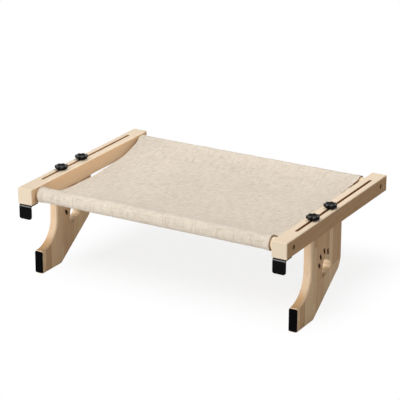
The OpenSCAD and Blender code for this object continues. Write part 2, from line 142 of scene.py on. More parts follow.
class HammockColours(PropertyGroup):
    """Colours of the finishes and strengths of the lights."""

    rail_pale: colour("Rail Pale", "Early wood of the rails", (0.61, 0.390, 0.215))
    rail_deep: colour("Rail Deep", "Late wood of the rails", (0.52, 0.302, 0.146))
    # End grain, made paler than real end grain as partly painted light on the rail and rod ends
    painted_light_rail_end: colour("Rail End", "End grain of the rails", (0.695, 0.59, 0.452))
    leg_pale: colour("Leg Pale", "Early wood of the legs", (0.765, 0.512, 0.298))
    leg_deep: colour("Leg Deep", "Late wood of the legs", (0.615, 0.372, 0.196))
    leg_end: colour("Leg End", "End grain of the legs", (0.64, 0.39, 0.195))
    # Painted light: a pale hue blended onto the wood's tops, edges and inner faces where light falls on them
    painted_light: colour("Sapwood", "Paler wood of edges and inner faces", (0.80, 0.66, 0.49))
    grey_stave: colour("Grey Stave", "Greyer staves among those of a leg", (0.70, 0.57, 0.39))
    # Painted shade inside the rails' slots and bolt holes
    painted_slot_shade: colour("Slot Wall", "Walls of the slots and bolt holes", (0.50, 0.27, 0.11))
    # Painted shade on the walls of the paw's toes and the foot of its pad
    painted_toe_shade: colour("Toe Wall", "Scorched walls of the paw's toes", (0.15, 0.070, 0.026))
    # Painted light on the walls of the paw's pad
    painted_pad_light: colour("Pad Wall", "Fresh-cut walls of the paw's pad", (0.95, 0.77, 0.54))
    cloth: colour("Cloth", "Main colour of the cloth", (0.695, 0.618, 0.526))
    cloth_deep: colour("Cloth Deep", "Darker threads of the cloth", (0.53, 0.455, 0.366))
    thread: colour("Thread", "Sewing thread", (0.70, 0.62, 0.52))
    knob: colour("Knob", "Moulded plastic of the knobs", (0.012, 0.0115, 0.0108))
    coat: colour("Hook Coat", "Baked coat of the hooks", (0.0022, 0.0022, 0.0022))
    # Painted highlight along the bend of each hook
    painted_bend_highlight: colour("Bare Metal", "Metal where the bend of a hook is worn", (0.4, 0.4, 0.4))
    rubber: colour("Rubber", "Rubber of the pads", (0.0012, 0.0012, 0.0014))
    zinc: colour("Zinc", "Plated steel of the fasteners", (0.56, 0.56, 0.55))
    black_zinc: colour("Black Zinc", "Blackened steel of the washers and rod bolts", (0.004, 0.0038, 0.0035))
    brass: colour("Brass", "Turned brass of the inserts", (0.62, 0.46, 0.20))
    floor: colour("Floor", "Studio floor", (0.98, 0.98, 0.98))
    floor_bounce: colour("Floor Bounce", "Floor as it throws light back up", (0.70, 0.69, 0.67))
    top_light: watts("Top Light", "Power of the overhead softbox", 2.85)
    front_light: watts("Front Light", "Power of the low front softbox", 46.0)
    rail_light: watts("Rail Light", "Power of the strip over the sling", 0.036)
    high_light: FloatProperty(
        name="High Light", description="Strength of the far high light", default=1.10,
    )
    room_light: FloatProperty(
        name="Room Light", description="Strength of the light from all round", default=0.29,
    )


class HammockSettings(PropertyGroup):
    """All settings of the hammock."""

    sizes: PointerProperty(type=HammockSizes)
    colours: PointerProperty(type=HammockColours)


def settings():
    """The hammock's settings in the scene."""
    return bpy.context.scene.hammock


# Shader graphs

def pick(sockets, key):
    """A socket by its place, its identifier or its name."""
    if isinstance(key, int):
        return sockets[key]
    return next(socket for socket in sockets if key in (socket.identifier, socket.name))


class Value:
    """One output of a node; Python's operators on it add Math nodes."""

    def __init__(self, graph, socket):
        self.graph = graph
        self.socket = socket

    def __add__(self, other):
        return self.graph.maths("ADD", self, other)

    def __radd__(self, other):
        return self.graph.maths("ADD", other, self)

    def __sub__(self, other):
        return self.graph.maths("SUBTRACT", self, other)

    def __rsub__(self, other):
        return self.graph.maths("SUBTRACT", other, self)

    def __mul__(self, other):
        return self.graph.maths("MULTIPLY", self, other)

    def __rmul__(self, other):
        return self.graph.maths("MULTIPLY", other, self)

    def __truediv__(self, other):
        return self.graph.maths("DIVIDE", self, other)

    def __rtruediv__(self, other):
        return self.graph.maths("DIVIDE", other, self)

    def __abs__(self):
        return self.graph.maths("ABSOLUTE", self)


class Graph:
    """A node tree that is written as expressions."""

    def __init__(self, tree):
        self.tree = tree
        tree.nodes.clear()

    def node(self, kind, options=None, sockets=None, out=0):
        """Adds a node: first its options, then the values or links of its sockets.

        Gives back the output or outputs that out names.
        """
        made = self.tree.nodes.new(kind)
        for name, value in (options or {}).items():
            setattr(made, name, value)
        for name, value in (sockets or {}).items():
            socket = pick(made.inputs, name)
            if isinstance(value, Value):
                self.tree.links.new(value.socket, socket)
            else:
                socket.default_value = value
        if out is None:
            return None
        if isinstance(out, tuple):
            return tuple(Value(self, pick(made.outputs, name)) for name in out)
        return Value(self, pick(made.outputs, out))

    def maths(self, operation, *values):
        return self.node("ShaderNodeMath", {"operation": operation}, dict(enumerate(values)))

    def sine(self, value):
        return self.maths("SINE", value)

    def largest(self, a, b):
        return self.maths("MAXIMUM", a, b)

    def least(self, a, b):
        return self.maths("MINIMUM", a, b)

    def step(self, value, low, high):
        """Smooth change from 0 at low to 1 at high."""
        sockets = {"Value": value, "From Min": low, "From Max": high}
        return self.node("ShaderNodeMapRange", {"interpolation_type": "SMOOTHSTEP"}, sockets)

    def stretch(self, vector, scale):
        sockets = {0: vector, 1: scale}
        return self.node("ShaderNodeVectorMath", {"operation": "MULTIPLY"}, sockets)

    def shift(self, vector, by):
        return self.node("ShaderNodeVectorMath", {"operation": "ADD"}, {0: vector, 1: by})

    def split(self, vector):
        return self.node("ShaderNodeSeparateXYZ", None, {"Vector": vector}, ("X", "Y", "Z"))

    def join(self, x, y, z):
        return self.node("ShaderNodeCombineXYZ", None, {"X": x, "Y": y, "Z": z})

    def grain(self, vector, scale=1.0, detail=2.0, roughness=0.5):
        sockets = {"Vector": vector, "Scale": scale, "Detail": detail, "Roughness": roughness}
        return self.node("ShaderNodeTexNoise", None, sockets)

    def blend(self, a, b, factor, way="MIX"):
        """Mixes two colours."""
        a, b = (value if isinstance(value, Value) else (*value, 1.0)[:4] for value in (a, b))
        sockets = {"Factor_Float": factor, "A_Color": a, "B_Color": b}
        return self.node("ShaderNodeMix", {"data_type": "RGBA", "blend_type": way}, sockets, "Result_Color")

    def tone(self, hue, level):
        """A colour made lighter or darker by a value round 1."""
        return self.blend(hue, self.join(level, level, level), 1.0, "MULTIPLY")

    def bump(self, height, distance, strength=1.0, normal=None):
        sockets = {"Height": height, "Distance": distance, "Strength": strength}
        if normal:
            sockets["Normal"] = normal
        return self.node("ShaderNodeBump", None, sockets)


class Finish(Graph):
    """A procedural finish on a Principled surface."""

    def __init__(self, name):
        self.material = bpy.data.materials.new(name)
        self.material.use_nodes = True
        super().__init__(self.material.node_tree)
        self.place, self.facing = self.node("ShaderNodeTexCoord", None, None, ("Object", "Normal"))

    def surface(self, sockets):
        shader = self.node("ShaderNodeBsdfPrincipled", None, sockets)
        self.node("ShaderNodeOutputMaterial", None, {"Surface": shader}, None)
        return self.material

    def round_edges(self, radius):
        """Rounded normal at the edges, and a mask of the edges."""
        rounded = self.node("ShaderNodeBevel", {"samples": 4}, {"Radius": radius})
        true = self.node("ShaderNodeNewGeometry", None, None, "Normal")
        sockets = {0: rounded, 1: true}
        match = self.node("ShaderNodeVectorMath", {"operation": "DOT_PRODUCT"}, sockets, "Value")
        return rounded, 1 - self.step(match, 0.8, 0.995)


# Finishes

def painted_bore_shade(wood, ways):
    """Painted shade on the walls of the rails' slots and bolt holes: its colour, and a mask that is 1 deep
    inside them.
    """
    shallow, deep = 0.0004, 0.0014
    low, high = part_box("right_rail")
    ways = (abs(ways[X]), ways[Y], ways[Z])
    depths = [wood.least(way - low[i], high[i] - way) for i, way in enumerate(ways)]
    walls = wood.step(wood.least(depths[X], wood.least(depths[Y], depths[Z])), shallow, deep)
    return [(settings().colours.painted_slot_shade, walls)]


def painted_paw_light_and_shade(wood, ways):
    """Colours and masks of the paw's walls: painted light on the pad's walls, and painted shade on the toes
    and the foot of the pad.
    """
    shallow, deep = 0.0006, 0.002
    low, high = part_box("right_leg")
    colours, sizes = settings().colours, settings().sizes
    y, z = ways[Y] - sizes.paw_y, ways[Z] - sizes.paw_z
    reach = wood.maths("SQRT", y * y + z * z)
    across = abs(ways[X])
    inside = wood.least(across - low.x, high.x - across)
    cut = wood.step(inside, shallow, deep) * (1 - wood.step(reach, sizes.paw_r, sizes.paw_r + 0.001))
    toes = wood.step(reach, 0.98 * sizes.toes_r, 1.03 * sizes.toes_r)
    low_walls = 1 - wood.step(z, -0.85 * sizes.toes_r, -0.5 * sizes.toes_r)
    # Painted shade: the toes fully and the pad's lower walls in part; the rest of the pad's walls get painted
    # light
    toe_shade_mask = wood.largest(toes, 0.55 * low_walls)
    return [(colours.painted_pad_light, cut * (1 - toes)), (colours.painted_toe_shade, cut * toe_shade_mask)]


def wood_finish(name, axis, hues, contrast, painted_light=0.0, staves=0.0, holes=None):
    """Clear-lacquered wood with its grain along one axis, in hues for early wood, late wood and end grain.

    Painted light makes the tops, edges and inner faces paler: they are blended towards a pale hue, and the
    inner broad faces are toned up. Glued staves show on the broad faces where a width is given, and a function
    gives the colours and masks of the painted light and shade on the walls of holes.
    """
    colours = settings().colours
    pale, deep, end_hue = hues
    wood = Finish(name)
    place = wood.place
    ways = wood.split(place)
    normal = wood.split(wood.facing)
    facing = [abs(way) for way in normal]
    broad = wood.step(facing[X], 0.90, 0.97)
    tint = 1.0
    if staves:
        count = ways[Y] / staves + 0.37
        count = count + 0.35 * wood.sine(count * 2.3)
        stave = wood.maths("FLOOR", count)
        rise = ways[Z] / (5 * staves) + 0.63 * stave
        length = wood.maths("FLOOR", rise)
        sockets = {"Vector": wood.join(stave + 23.0, length, 0.0)}
        sort = wood.node("ShaderNodeTexWhiteNoise", {"noise_dimensions": "2D"}, sockets)
        seam = wood.step(abs(wood.maths("FRACT", count) - 0.5), 0.472, 0.497)
        joint = wood.step(abs(wood.maths("FRACT", rise) - 0.5), 0.494, 0.499)
        place = wood.shift(place, wood.join(stave * 0.31, length * 0.23, stave * 0.47))
        tint = 1 + broad * (0.40 * (sort - 0.36) - 0.14 * wood.largest(seam, joint))

    def along(across, run):
        scale = [across] * 3
        scale[axis] = run
        return wood.stretch(place, scale)

    rings = wood.grain(along(34.0, 1.7), detail=1.0)
    bands = 0.5 + 0.5 * wood.sine(rings * 62.0)
    fibres = wood.grain(along(620.0, 14.0), detail=3.0, roughness=0.6)
    pores = wood.step(wood.grain(along(1500.0, 42.0), detail=1.0), 0.60, 0.74)
    drift = wood.grain(along(16.0, 2.6))
    ends = wood.step(facing[axis], 0.55, 0.92)
    dots = wood.grain(wood.place, 1400.0, detail=1.0)
    arcs = 0.5 + 0.5 * wood.sine((wood.grain(wood.place, 21.0, detail=0.5) + 2 * ways[Z]) * 85.0)

    side = contrast * (0.34 * bands + 0.55 * (fibres - 0.5) + 0.55 * (drift - 0.42) + 0.22 * pores)
    end = 0.42 * arcs + 0.7 * (dots - 0.5) - 0.1
    depth = wood.maths("MULTIPLY_ADD", ends, end - side, side)
    hue = wood.blend(pale, deep, wood.step(depth, -0.18, 0.86))
    worn = wood.step(facing[X], 0.25, 0.5) * (1 - wood.step(facing[X], 0.88, 0.97))
    painted_inner_light = wood.step(-1 * normal[X] * ways[X], 0.0, 0.1)
    if staves:
        hue = wood.blend(hue, colours.grey_stave, 0.45 * broad * wood.step(sort, 0.45, 0.75))
    # Painted light: all but the broad side faces, and a little of the inner broad faces, turn towards a pale
    # hue
    hue = wood.blend(hue, colours.painted_light, painted_light * wood.largest(1 - broad, 0.25 * painted_inner_light))
    # End grain gets its own hue; that of the rails and rods is partly painted light
    hue = wood.blend(hue, end_hue, 0.9 * ends)
    # Painted light tones the inner broad faces up; the chamfers are lighter from wear
    hue = wood.tone(hue, tint * (1 + 0.10 * worn + 0.19 * broad * painted_inner_light))
    # Painted light and shade on the walls of holes
    for painted_hue, cut in holes(wood, ways) if holes else ():
        hue = wood.blend(hue, painted_hue, cut)
    height = 0.5 * fibres - 0.7 * pores + 0.15 * bands
    return wood.surface({
        "Base Color": hue,
        "Roughness": 0.42 + 0.16 * fibres + 0.08 * worn + 0.10 * ends,
        "Specular IOR Level": 0.02,
        "Coat Weight": 0.5 * facing[Z] * (1 - ends),
        "Coat Roughness": 0.30,
        "Normal": wood.bump(height, 0.00012, 0.55),
    })


def cloth_finish(name, hue, deep, pitch):
    """Plain linen weave with slubs, laid out in metres on the cloth's own map."""
    cloth = Finish(name)
    spot = cloth.node("ShaderNodeUVMap", {"uv_map": "cloth"})
    across, run, _ = cloth.split(spot)
    wander = cloth.grain(spot, 60.0, detail=1.0)
    u = (across + 0.0011 * wander) * (math.pi / pitch)
    v = (run + 0.0011 * wander) * (math.pi / pitch)
    weft, warp = cloth.sine(u), cloth.sine(v)
    over = cloth.step(weft * warp, -0.25, 0.25)
    threads = cloth.maths("MULTIPLY_ADD", over, abs(weft) - abs(warp), abs(warp))
    weft_slubs = cloth.grain(cloth.stretch(spot, (48.0, 360.0, 1.0)), detail=2.0)
    warp_slubs = cloth.grain(cloth.stretch(spot, (330.0, 42.0, 1.0)), detail=2.0)
    slubs = cloth.largest(cloth.step(weft_slubs, 0.56, 0.74), cloth.step(warp_slubs, 0.57, 0.75))
    thin = cloth.largest(1 - cloth.step(weft_slubs, 0.26, 0.44), 1 - cloth.step(warp_slubs, 0.26, 0.44))
    mottle = cloth.grain(spot, 110.0, detail=4.0, roughness=0.6)
    clouds = cloth.grain(spot, 11.0, detail=2.0)
    depth = 0.40 + 1.0 * (mottle - 0.5) + 0.65 * thin - 0.52 * slubs + 0.22 * (0.6 - threads)
    worn = cloth.tone(cloth.blend(hue, deep, cloth.step(depth, -0.1, 1.1)), 0.94 + 0.12 * clouds)
    height = 0.6 * threads + 0.5 * slubs - 0.2 * thin
    return cloth.surface({
        "Base Color": worn,
        "Roughness": 0.86 + 0.08 * threads,
        "Specular IOR Level": 0.15,
        "Sheen Weight": 0.08,
        "Sheen Roughness": 0.6,
        "Normal": cloth.bump(height, 0.00022, 0.6),
    })


def thread_finish(name, hue):
    """Twisted sewing thread."""
    thread = Finish(name)
    x, y, z = thread.split(thread.place)
    twist = 0.5 + 0.5 * thread.sine((x + y + z) * 9000.0)
    return thread.surface({
        "Base Color": thread.tone(hue, 0.86 + 0.2 * twist),
        "Roughness": 0.62 + 0.12 * twist,
        "Specular IOR Level": 0.3,
        "Normal": thread.bump(twist, 0.00008),
    })


def knob_tops(skin, up):
    """1 on top of the lobes of the knobs and 0 in their dishes and on their sides."""
    front, rear = middle("right_front_washer"), middle("right_rear_washer")
    x, y, _ = skin.split(skin.place)
    x = abs(x) - front.x
    y = abs(y - (front.y + rear.y) / 2) - (rear.y - front.y) / 2
    reach = skin.maths("SQRT", x * x + y * y)
    knob_r = settings().sizes.knob_r
    return skin.step(reach, 0.56 * knob_r, 0.82 * knob_r) * skin.step(up, 0.0, 0.6)


def moulded_finish(name, hue, scale, base_roughness, gloss, bend=0.0, tops=None):
    """Moulded plastic, baked coat or rubber: a fine skin whose edges are lighter and shinier, partly from wear
    and partly as a painted highlight.

    A bend gets a painted highlight, a band of lighter grey, in the share that is given for it. Where a
    function for the tops is given, the rest of the skin is matt.
    """
    skin = Finish(name)
    up = skin.split(skin.facing)[Z]
    shine = gloss * tops(skin, up) if tops else gloss
    rounded, edges = skin.round_edges(settings().sizes.edge_r)
    fine = skin.grain(skin.place, scale, detail=2.0)
    broad = skin.grain(skin.place, 90.0, detail=3.0)
    scuffs = skin.step(skin.grain(skin.stretch(skin.place, (240.0, 240.0, 900.0)), detail=3.0), 0.62, 0.80)
    # Edges lighter, partly from wear and partly as a painted highlight; scuffs lighter from wear
    worn = skin.tone(hue, 0.85 + 0.3 * broad + 0.5 * edges + 0.5 * scuffs)
    if bend:
        # Painted highlight: a band of lighter grey on the bend, where it faces partly up
        bend_highlight_mask = bend * skin.step(up, 0.12, 0.34) * (1 - skin.step(up, 0.40, 0.62))
        worn = skin.blend(worn, settings().colours.painted_bend_highlight, bend_highlight_mask)
    uneven = 0.16 * (fine - 0.5) + 0.10 * (broad - 0.5) - 0.08 * edges + 0.06 * scuffs
    return skin.surface({
        "Base Color": worn,
        "Roughness": base_roughness + uneven,
        "Specular IOR Level": 0.02,
        "Coat Weight": shine * (1 + edges),
        "Coat Roughness": base_roughness,
        "Normal": skin.bump(fine, 0.00006, 0.5, rounded),
    })


def plated_finish(name, hue, threads=0.0):
    """Plated or turned metal, with the turns of a thread where a pitch is given."""
    plate = Finish(name)
    rounded, edges = plate.round_edges(settings().sizes.fine_edge_r)
    x, y, z = plate.split(plate.place)
    turned = plate.grain(plate.stretch(plate.place, (300.0, 300.0, 5200.0)), detail=2.0)
    dull = plate.grain(plate.place, 420.0, detail=3.0)
    height = turned
    if threads:
        height = 0.3 * turned + plate.sine((z + 0.12 * x + 0.12 * y) * (2 * math.pi / threads))
    return plate.surface({
        "Base Color": plate.tone(hue, 0.80 + 0.3 * dull + 0.15 * edges),
        "Metallic": 1.0,
        "Roughness": 0.26 + 0.2 * dull + 0.06 * turned,
        "Normal": plate.bump(height, 0.00025 if threads else 0.00003, 0.5, rounded),
    })


# Making pieces

def dress(material, nodes):
    """Gives nodes of the frame a finish."""
    for name in nodes:
        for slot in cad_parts[name].material_slots:
            slot.material = material


def new_piece(name, points, faces, material, body):
    """A smooth mesh piece that rides on a body."""
    mesh = bpy.data.meshes.new(name)
    mesh.from_pydata(points, [], faces)
    mesh.materials.append(material)
    mesh.polygons.foreach_set("use_smooth", [True] * len(mesh.polygons))
    mesh.update()
    piece = bpy.data.objects.new(name, mesh)
    bpy.context.scene.collection.objects.link(piece)
    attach(piece, body)
    return piece


class ClothPath:
    """Mid-line of the sling in Y and Z, from the front seam round both rods to the rear seam."""

    LEVEL_STEPS = 18
    RISE_STEPS = 28
    TURN_STEPS = 44
    RETURN_STEPS = 8
    TUCK_STEPS = 4
    TUCK = 0.009  # length of the sewn end
    BOW = 0.0006  # sag of the cloth between rod and seam
    GAP = 1.12  # distance of the sewn end from the cloth over it, in thicknesses of the cloth

    def __init__(self, sizes):
        front, rear = middle("front_rod"), middle("rear_rod")
        self.mid_y = (front.y + rear.y) / 2
        self.rod_reach = (rear.y - front.y) / 2
        self.rod_z = rear.z
        self.cloth_t = sizes.cloth_t
        self.roll_r = span("front_rod").z / 2 + sizes.sleeve_slack + sizes.cloth_t / 2
        self.mid_x = middle("fabric_sling").x
        self.sleeve_x = span("fabric_sling").x / 2
        self.edge_reach = self.rod_reach - self.roll_r
        self.side_draw = sizes.side_draw
        half = self.half_line(sizes)
        line = [(-y, z, tail) for y, z, tail in reversed(half[1:])] + half
        self.measure(line)

    def half_line(self, sizes):
        """Points from mid-length to the sewn end, each with its share in that end."""
        rise_r = sizes.rise_r
        drop = self.rod_z + self.roll_r - sizes.level_z
        reach = rise_r + self.roll_r
        run = math.sqrt(reach**2 - (reach - drop) ** 2)
        level = self.rod_reach - run
        lean = math.atan2(run, reach - drop)
        gap = self.GAP * self.cloth_t

        def rise(angle, below=0.0):
            radius = rise_r + below
            return level + radius * math.sin(angle), sizes.level_z + rise_r - radius * math.cos(angle)

        points = [(level * i / self.LEVEL_STEPS, sizes.level_z, 0) for i in range(self.LEVEL_STEPS)]
        points += [(*rise(lean * i / self.RISE_STEPS), 0) for i in range(self.RISE_STEPS + 1)]
        seam_angle = lean - sizes.seam_reach / rise_r
        seam = rise(seam_angle, gap)
        out_y, out_z = seam[0] - self.rod_reach, seam[1] - self.rod_z
        first = math.pi / 2 + lean
        last = math.atan2(out_z, out_y) + math.acos(self.roll_r / math.hypot(out_y, out_z))
        last -= 2 * math.pi * round((last + math.pi / 2) / (2 * math.pi))
        for i in range(1, self.TURN_STEPS + 1):
            angle = first + (last - first) * i / self.TURN_STEPS
            turn_y, turn_z = self.roll_r * math.cos(angle), self.roll_r * math.sin(angle)
            points.append((self.rod_reach + turn_y, self.rod_z + turn_z, 0))
        leave_y, leave_z, _ = points[-1]
        for i in range(1, self.RETURN_STEPS):
            share = i / self.RETURN_STEPS
            bow = self.BOW * math.sin(math.pi * share)
            y, z = leave_y + (seam[0] - leave_y) * share, leave_z + (seam[1] - leave_z) * share - bow
            points.append((y, z, share**4))
        for i in range(self.TUCK_STEPS + 1):
            points.append((*rise(seam_angle - self.TUCK * i / self.TUCK_STEPS / rise_r, gap), 1))
        return points

    def measure(self, line):
        """Keeps each point of the line with the run along the cloth and the outward normal there."""
        self.points = []
        run = 0.0
        for i, (y, z, tail) in enumerate(line):
            y0, z0, _ = line[max(i - 1, 0)]
            y1, z1, _ = line[min(i + 1, len(line) - 1)]
            size = math.hypot(y1 - y0, z1 - z0)
            if i:
                run += math.hypot(y - y0, z - z0)
            self.points.append((run, y, z, (z0 - z1) / size, (y1 - y0) / size, tail))
        self.length = run

    def half_width(self, y):
        """Half the cloth's width, which is full on the sleeves and least in the dish."""
        share = min(abs(y) / self.edge_reach, 1.0)
        return self.sleeve_x - self.side_draw * (1 - share**4)

    def at(self, run):
        """The line's values at a run along the cloth."""
        upper = next((i for i, point in enumerate(self.points) if point[0] >= run), len(self.points) - 1)
        a, b = self.points[max(upper - 1, 0)], self.points[upper]
        share = 0.0 if b[0] == a[0] else (run - a[0]) / (b[0] - a[0])
        return tuple(p + (q - p) * share for p, q in zip(a, b))


def ease(value, low, high):
    """Smooth change from 0 at low to 1 at high."""
    share = min(max((value - low) / (high - low), 0.0), 1.0)
    return share * share * (3 - 2 * share)


def waves(x, y, layer):
    """Smooth noise in two directions, in one of several layers."""
    return noise.noise(Vector((x, y, layer)))


class Sling:
    """The sewn sling: one doubled cloth with turned side hems and a sleeve at each end."""

    # Distances from the side edge of the columns round the edge, the stitches' groove and the hem's end
    INSETS = (
        0.0, 0.0003, 0.0009, 0.002, 0.004, 0.006, 0.008,
        0.0092, 0.010, 0.0108, 0.0118, 0.0128, 0.016, 0.020,
    )
    INNER_COLUMNS = 92
    EDGE_R = 0.0009  # reach of the rounding of the side edges
    HEM_STEP = 0.0006  # half the width of the step at a hem's end
    GROOVE, GROOVE_W = 0.00028, 0.0008  # depth and width of the groove that the stitches pull in
    FRONT_GAPE, REAR_GAPE, GAPE_W = 0.0013, 0.0007, 0.009  # widening of the sleeves' open ends
    FOLDS, SLACK, RIPPLES = 0.00055, 0.00055, 0.00022  # heights on the sleeves and in the dish
    SLEEVE_FADE = 0.010  # distance over which the folds of a sleeve fade out
    LIFT_W = 0.06  # width of the strip that rises with a side hem
    FRONT_LIFT, FRONT_SLACK = 0.21714, 0.22857  # the hems' rise and slack in front, in shares of the side lift
    ROW_MARGIN = 0.006  # distance of a seam's first and last stitch from the side edges

    def __init__(self, sizes):
        self.sizes = sizes
        self.path = ClothPath(sizes)

    def hem(self, inset):
        """How much thicker the cloth is on its inner face, by the distance from its side edge."""
        end = self.sizes.hem_w
        return self.sizes.hem_t * (1 - ease(inset, end - self.HEM_STEP, end + self.HEM_STEP))

    def swell(self, x, inset, run, y, z):
        """Small folds and slack of the cloth along its normal, and the gape of a sleeve's open end."""
        path = self.path
        from_rod = math.hypot(abs(y) - path.rod_reach, z - path.rod_z)
        on_sleeve = min(max(1.6 - (from_rod - path.roll_r) / self.SLEEVE_FADE, 0.0), 1.0)
        soft = self.SLACK * waves(x * 11, run * 9, 0.3) + self.RIPPLES * waves(x * 42, run * 30, 5.1)
        folds = 0.55 + 0.9 * waves(x * 34, y * 3, 2.7) + 0.5 * waves(x * 95, run * 22, 8.2)
        crown = max(0.0, (z - path.rod_z) / path.roll_r)
        gape = (self.FRONT_GAPE if y < 0 else self.REAR_GAPE) * math.exp(-((inset / self.GAPE_W) ** 2))
        puckered = self.FOLDS * max(folds, -0.2) * (0.45 + 0.55 * crown)
        return (1 - on_sleeve) * soft + on_sleeve * (gape + puckered)

    def side_rise(self, inset, y):
        """Rise of the taut side hems towards the sleeves, most at the rear, and slack at the front one."""
        back = y / self.path.rod_reach
        rear = ease(back, -0.20, 0.66) * (1 - ease(back, 0.70, 1.0))
        front = self.FRONT_LIFT * ease(-back, 0.02, 0.35) * (1 - ease(-back, 0.52, 0.74))
        slack = self.FRONT_SLACK * ease(-back, 0.62, 0.76) * (1 - ease(-back, 0.78, 0.93))
        return self.sizes.side_lift * (rear + front - slack) * math.exp(-((inset / self.LIFT_W) ** 2))

    def spot(self, row, inset, side, outer, lift=0.0):
        """A point of the cloth's outer or inner face, by a row of the line and the distance from an edge."""
        run, y, z, out_y, out_z, tail = row
        x = side * (self.path.half_width(y) - inset)
        swell = self.swell(x, inset, run, y, z)
        half = self.path.cloth_t / 2
        edge = min(inset / self.EDGE_R, 1.0)
        round_off = 0.35 + 0.65 * math.sqrt(1 - (1 - edge) ** 2)
        groove = self.GROOVE * math.exp(-(((inset - self.sizes.stitch_inset) / self.GROOVE_W) ** 2))
        if outer:
            away = half * round_off - groove + lift
        else:
            away = -(half + self.hem(inset)) * round_off + 0.5 * groove - lift
        away += swell + tail * self.hem(inset)
        rise = self.side_rise(inset, y)
        return self.path.mid_x + x, self.path.mid_y + y + out_y * away, z + out_z * away + rise

    def columns(self, width):
        """Each column's distance from the nearer edge and that edge's side, for a row of this half width."""
        row = [(inset, -1) for inset in self.INSETS]
        for i in range(1, self.INNER_COLUMNS):
            x = (2 * (i / self.INNER_COLUMNS) - 1) * (width - self.INSETS[-1])
            row.append((width - abs(x), 1 if x >= 0 else -1))
        return row + [(inset, 1) for inset in reversed(self.INSETS)]

    def build(self, material):
        """The cloth as one closed mesh, with its own map in metres."""
        points, spots = [], []
        for outer in (True, False):
            for row in self.path.points:
                columns = self.columns(self.path.half_width(row[1]))
                for inset, side in columns:
                    points.append(self.spot(row, inset, side, outer))
                    spots.append((points[-1][0], row[0]))
        rows, wide = len(self.path.points), len(columns)
        other = rows * wide
        faces = []
        for i in range(rows - 1):
            for j in range(wide - 1):
                a, b = i * wide + j, (i + 1) * wide + j
                faces.append((a, a + 1, b + 1, b))
                faces.append((other + a, other + b, other + b + 1, other + a + 1))
            a, b = i * wide, (i + 1) * wide
            faces.append((a, b, other + b, other + a))
            a, b = a + wide - 1, b + wide - 1
            faces.append((a, other + a, other + b, b))
        for j in range(wide - 1):
            a, b = j, (rows - 1) * wide + j
            faces.append((a, other + a, other + a + 1, a + 1))
            faces.append((b, b + 1, other + b + 1, other + b))
        piece = new_piece("sling", points, faces, material, "frame")
        layer = piece.data.uv_layers.new(name="cloth")
        for loop in piece.data.loops:
            layer.data[loop.index].uv = spots[loop.vertex_index]
        return piece

    def stitch_lines(self):
        """Each stitch as its two ends, its row on the line and whether it lies on the outer face."""
        sizes, path = self.sizes, self.path
        pitch, length = sizes.stitch_pitch, 0.74 * sizes.stitch_pitch
        lift = 0.12 * sizes.thread_d
        tail = path.TUCK / 2
        for side in (-1, 1):
            for i in range(int((path.length - 2 * tail) / pitch)):
                row, next_row = path.at(tail + i * pitch), path.at(tail + i * pitch + length)
                for outer in (True, False):
                    ends = [self.spot(at, sizes.stitch_inset, side, outer, lift) for at in (row, next_row)]
                    yield ends, row, outer
        under = next(p[0] for p in path.points if p[5] == 1 and p[0] > path.length / 2) + tail
        level = path.at(under)
        over = min(
            (p for p in path.points if p[5] == 0 and abs(p[3]) < 0.6 and p[4] > 0),
            key=lambda p: (p[1] - level[1]) ** 2 + (p[2] - level[2]) ** 2,
        )[0]
        for run in (over, path.length - over, under, path.length - under):
            row = path.at(run)
            half = path.half_width(row[1])
            for i in range(int(2 * (half - self.ROW_MARGIN) / pitch)):
                start = -half + self.ROW_MARGIN + i * pitch
                ends = []
                for x in (start, start + length):
                    ends.append(self.spot(row, half - abs(x), 1 if x >= 0 else -1, True, lift))
                yield ends, row, True

    def sew(self, material):
        """All stitches as one piece of short, tapered threads."""
        radius = self.sizes.thread_d / 2
        # Place along a stitch, and its radius and rise there, both in radii of the thread
        rings = (
            (0.0, 0.35, -0.7), (0.14, 0.85, -0.15), (0.5, 1.0, 0.2), (0.86, 0.85, -0.15), (1.0, 0.35, -0.7),
        )
        around = 6
        points, faces = [], []
        for (start, end), row, outer in self.stitch_lines():
            start, end = Vector(start), Vector(end)
            away = Vector((0, row[3], row[4])) * (1 if outer else -1)
            beside = (end - start).cross(away).normalized()
            base = len(points)
            for share, size, rise in rings:
                centre = start.lerp(end, share) + away * radius * rise
                for k in range(around):
                    turn = 2 * math.pi * k / around
                    points.append(centre + (beside * math.cos(turn) + away * math.sin(turn)) * radius * size)
            for ring in range(len(rings) - 1):
                for k in range(around):
                    a, b = base + ring * around + k, base + ring * around + (k + 1) % around
                    faces.append((a, b, b + around, a + around))
            faces.append(tuple(base + k for k in reversed(range(around))))
            faces.append(tuple(base + (len(rings) - 1) * around + k for k in range(around)))
        return new_piece("sling_stitches", points, faces, material, "frame")


def star_outline(sizes, angle):
    """Radius of a knob's star at an angle, with softened valleys between its lobes."""
    radius = sizes.knob_r
    lobe_r, core_r = 0.26 * radius, 0.715 * radius
    reach = radius - lobe_r
    step = 2 * math.pi / sizes.knob_lobes
    off = (angle + step / 2) % step - step / 2
    inside = lobe_r**2 - (reach * math.sin(off)) ** 2
    lobe = reach * math.cos(off) + math.sqrt(inside) if inside > 0 else 0.0
    soft = 0.0005
    return soft * math.log(math.exp(lobe / soft) + math.exp(core_r / soft))


